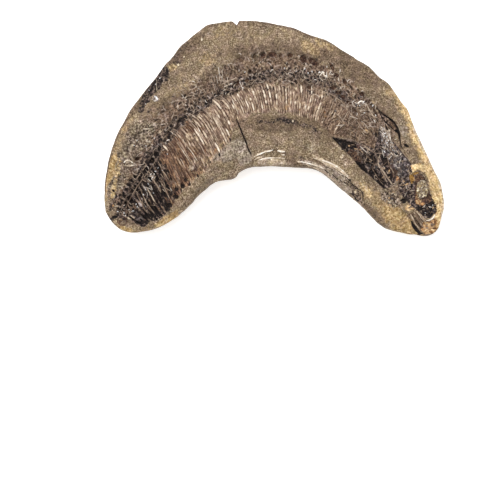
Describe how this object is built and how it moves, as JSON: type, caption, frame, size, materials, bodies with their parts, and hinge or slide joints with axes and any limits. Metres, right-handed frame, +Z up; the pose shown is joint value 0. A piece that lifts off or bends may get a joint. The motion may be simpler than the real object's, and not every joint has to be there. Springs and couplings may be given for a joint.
{
  "type": "fossil fish in a split nodule",
  "caption": "Curved half of a split stone nodule, with a fossil fish curled on its flat face and a rounded back to lie on.",
  "frame": {"origin": "middle of the stone's bounding box, on the flat of its back that it rests on", "axes": "+X from the tail to the head, +Y from the bay between the two ends towards the arched back edge, +Z up out of the face with the fish"},
  "size_m": [0.119, 0.0758, 0.0151],
  "materials": {
    "stone": "matte brown-grey sandstone with dark glossy fossil bone, pale ribs and an ochre rind"
  },
  "bodies": {
    "root": {"nodule_half": "stone"}
  },
  "joints": []
}
